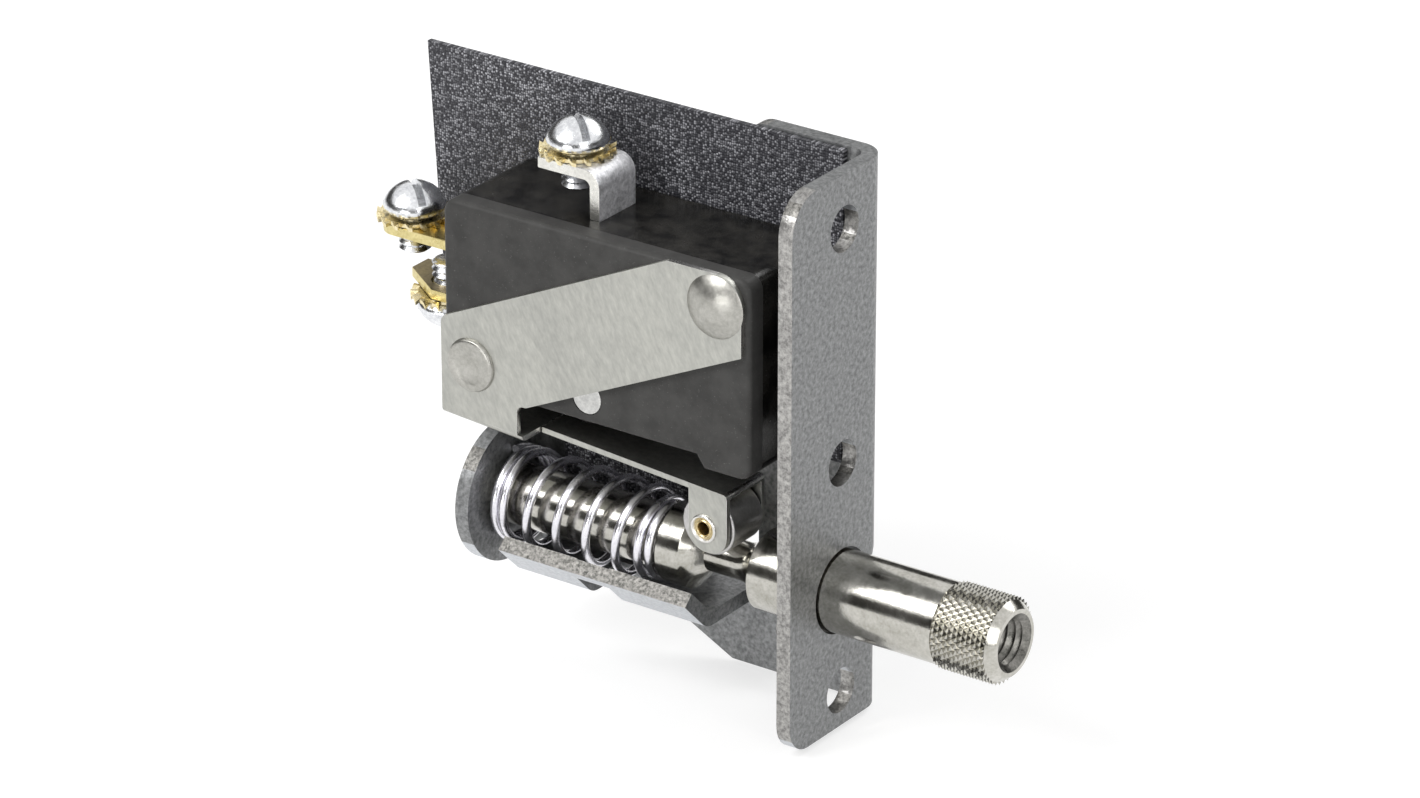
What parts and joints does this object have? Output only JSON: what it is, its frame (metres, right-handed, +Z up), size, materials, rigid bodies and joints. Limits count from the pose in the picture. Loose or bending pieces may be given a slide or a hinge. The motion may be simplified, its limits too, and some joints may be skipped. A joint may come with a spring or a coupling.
{
  "type": "door interlock switch",
  "caption": "Panel door switch: a spring-returned plunger with a tapped, knurled end lifts a roller leaf that works a snap-action switch riveted to a folded steel bracket.",
  "frame": {"origin": "centre of the middle mounting hole on the flange's outer face", "axes": "+X out of the flange, along the plunger rod towards its knurled end; +Z up the flange towards the terminals; +Y towards the back plate"},
  "size_m": [0.0566, 0.0141, 0.0443],
  "materials": {
    "plated_steel": "bluish bright zinc plating, satin",
    "nickel": "polished nickel plating",
    "spring_steel": "bright drawn wire",
    "stainless": "satin rolled strip",
    "screw_steel": "bright zinc plating",
    "brass": "bright brass",
    "silvered_brass": "silver plated brass",
    "terminal_brass": "dulled brass",
    "contact_silver": "fine silver",
    "copper_alloy": "rolled copper alloy spring strip",
    "moulding": "black phenolic moulding, semi-gloss",
    "laminate": "black glass-cloth laminate, woven grain",
    "roller_steel": "dark turned steel",
    "button_plastic": "black moulded plastic"
  },
  "bodies": {
    "frame": {"bracket": "plated_steel", "insulating_barrier": "laminate", "switch_case": "moulding", "switch_cover": "moulding", "lower_cover_pin": "spring_steel", "upper_cover_pin": "spring_steel", "common_terminal": "silvered_brass", "normally_open_terminal": "terminal_brass", "normally_closed_terminal": "terminal_brass", "common_screw": "screw_steel", "normally_open_screw": "screw_steel", "normally_closed_screw": "screw_steel", "common_lock_washer": "brass", "normally_open_lock_washer": "brass", "normally_closed_lock_washer": "brass", "normally_open_contact": "contact_silver", "normally_closed_contact": "contact_silver", "actuator_plate": "stainless", "near_rivet": "spring_steel", "far_rivet": "spring_steel", "return_spring": "spring_steel"},
    "plunger": {"plunger_rod": "nickel", "retaining_ring": "spring_steel"},
    "roller_arm": {"roller_leaf": "stainless", "roller_pin": "brass"},
    "roller": {"roller": "roller_steel"},
    "button": {"switch_button": "button_plastic"},
    "blade": {"snap_blade": "copper_alloy", "moving_contact": "contact_silver"}
  },
  "joints": [
    {"name": "plunger_slide", "type": "slide", "parent": "frame", "child": "plunger", "axis": [1, 0, 0], "range_m": [-0.0026, 0], "stiffness_N_per_m": 600, "deforming": ["return_spring"]},
    {"name": "leaf_flex", "type": "hinge", "parent": "frame", "child": "roller_arm", "pos_m": [-0.02415, -0.0019, -0.00205], "axis": [0, -1, 0], "range_deg": [0, 7]},
    {"name": "roller_spin", "type": "hinge", "parent": "roller_arm", "child": "roller", "pos_m": [-0.00935, -0.0019, -0.00618], "axis": [0, 1, 0], "continuous": true},
    {"name": "button_slide", "type": "slide", "parent": "frame", "child": "button", "axis": [0, 0, 1], "range_m": [0, 0.0003115]},
    {"name": "blade_swing", "type": "hinge", "parent": "frame", "child": "blade", "pos_m": [-0.008, -0.0011, 0.00675], "axis": [0, 1, 0], "range_deg": [0, 1.31]}
  ],
  "couplings": [
    {"joint": "leaf_flex", "follows": "plunger_slide", "rad_per_m": -46.99},
    {"joint": "button_slide", "follows": "plunger_slide", "ratio": -0.11981},
    {"joint": "blade_swing", "follows": "plunger_slide", "rad_per_m": -8.7938}
  ]
}
